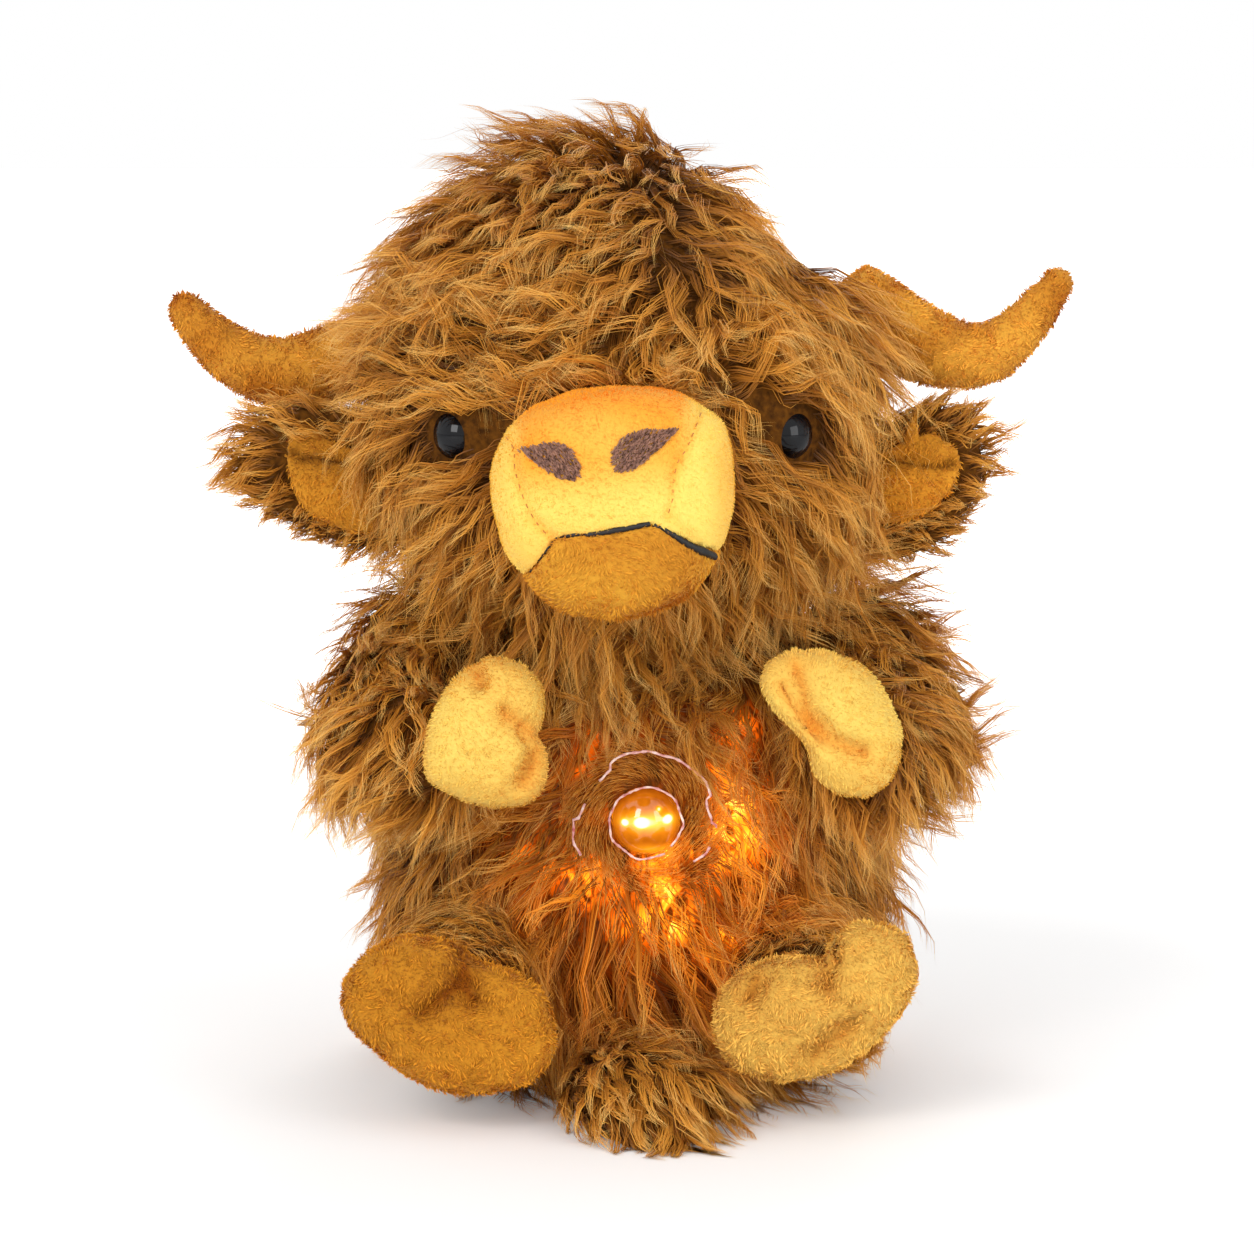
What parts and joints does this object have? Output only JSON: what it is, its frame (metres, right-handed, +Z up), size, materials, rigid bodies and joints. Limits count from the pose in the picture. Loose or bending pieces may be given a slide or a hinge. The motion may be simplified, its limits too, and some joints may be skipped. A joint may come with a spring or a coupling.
{
  "type": "plush night light",
  "caption": "Seated shaggy highland cow plush with stuffed horns, ears, hands and feet, and a press-on dome night light that glows in its tummy.",
  "frame": {"origin": "middle of the bottom of the toy's box, on the floor that it sits on", "axes": "+Z up, -Y the way the toy faces, +X the right of someone who looks at its face"},
  "size_m": [0.2768, 0.1916, 0.284],
  "materials": {
    "long_pile": "long shaggy wavy pile",
    "velboa": "short napped pile",
    "pale_velboa": "short napped pile",
    "eye_plastic": "polished",
    "washer_plastic": "moulded",
    "milky_plastic": "satin, lets light through",
    "amber_plastic": "polished, lets light through",
    "steel": "plated",
    "black_plastic": "moulded",
    "board": "lacquered",
    "cell_sleeve": "satin sleeve",
    "wire": "satin",
    "zip_tape": "woven",
    "zip_teeth": "moulded"
  },
  "bodies": {
    "body": {"torso": "long_pile", "head": "long_pile", "tail": "long_pile", "muzzle_upper": "pale_velboa", "muzzle_lower": "velboa", "horn_left": "velboa", "horn_right": "velboa", "eye_left": "eye_plastic", "eye_right": "eye_plastic", "eye_washer_left": "washer_plastic", "eye_washer_right": "washer_plastic", "module_front_shell": "milky_plastic", "module_rear_shell": "milky_plastic", "battery_door": "milky_plastic", "button_spring": "steel", "tact_switch": "black_plastic", "led_board": "board", "battery_cell_1": "cell_sleeve", "battery_cell_2": "cell_sleeve", "battery_cell_3": "cell_sleeve", "contact_end_left": "steel", "contact_end_right": "steel", "contact_bridge_left": "steel", "contact_bridge_right": "steel", "door_screw": "steel", "housing_screw_1": "steel", "housing_screw_2": "steel", "housing_screw_3": "steel", "housing_screw_4": "steel", "lead_wire_1": "wire", "lead_wire_2": "wire", "zip_tape_left": "zip_tape", "zip_tape_right": "zip_tape", "zip_teeth_left": "zip_teeth", "zip_teeth_right": "zip_teeth", "zip_stop_bottom": "steel", "zip_stop_left": "steel", "zip_stop_right": "steel"},
    "arm_left": {"arm_left": "long_pile", "hand_left": "pale_velboa"},
    "arm_right": {"arm_right": "long_pile", "hand_right": "pale_velboa"},
    "leg_left": {"leg_left": "long_pile", "foot_left": "velboa"},
    "leg_right": {"leg_right": "long_pile", "foot_right": "velboa"},
    "ear_left": {"ear_left": "long_pile", "ear_lining_left": "velboa"},
    "ear_right": {"ear_right": "long_pile", "ear_lining_right": "velboa"},
    "dome": {"dome_button": "amber_plastic", "switch_plunger": "black_plastic"},
    "slider": {"zip_slider": "steel"},
    "pull": {"zip_pull": "steel"}
  },
  "joints": [
    {"name": "shoulder_left", "type": "hinge", "parent": "body", "child": "arm_left", "pos_m": [-0.06152, 0.02578, 0.126], "axis": [0, 0, -1], "range_deg": [0, 40], "stiffness_Nm_per_rad": 0.05},
    {"name": "hip_left", "type": "hinge", "parent": "body", "child": "leg_left", "pos_m": [-0.04352, -0.00222, 0.0315], "axis": [0, 0, -1], "range_deg": [0, 20], "stiffness_Nm_per_rad": 0.08},
    {"name": "ear_root_left", "type": "hinge", "parent": "body", "child": "ear_left", "pos_m": [-0.06709, 0.01378, 0.179], "axis": [0, 0, -1], "range_deg": [-15, 15], "stiffness_Nm_per_rad": 0.01},
    {"name": "shoulder_right", "type": "hinge", "parent": "body", "child": "arm_right", "pos_m": [0.07048, 0.02578, 0.126], "axis": [0, 0, 1], "range_deg": [0, 40], "stiffness_Nm_per_rad": 0.05},
    {"name": "hip_right", "type": "hinge", "parent": "body", "child": "leg_right", "pos_m": [0.05248, -0.00222, 0.0315], "axis": [0, 0, 1], "range_deg": [0, 20], "stiffness_Nm_per_rad": 0.08},
    {"name": "ear_root_right", "type": "hinge", "parent": "body", "child": "ear_right", "pos_m": [0.06805, 0.01378, 0.179], "axis": [0, 0, 1], "range_deg": [-15, 15], "stiffness_Nm_per_rad": 0.01},
    {"name": "dome_press", "type": "slide", "parent": "body", "child": "dome", "axis": [0, 1, 0], "range_m": [0, 0.0008], "stiffness_N_per_m": 600, "deforming": ["button_spring"]},
    {"name": "zip_run", "type": "slide", "parent": "body", "child": "slider", "axis": [0, 0, -1], "range_m": [0, 0.084], "deforming": ["zip_teeth_left", "zip_teeth_right", "zip_tape_left", "zip_tape_right"]},
    {"name": "pull_flip", "type": "hinge", "parent": "slider", "child": "pull", "pos_m": [0.00448, 0.09288, 0.1239], "axis": [1, 0, 0], "range_deg": [0, 170]}
  ]
}
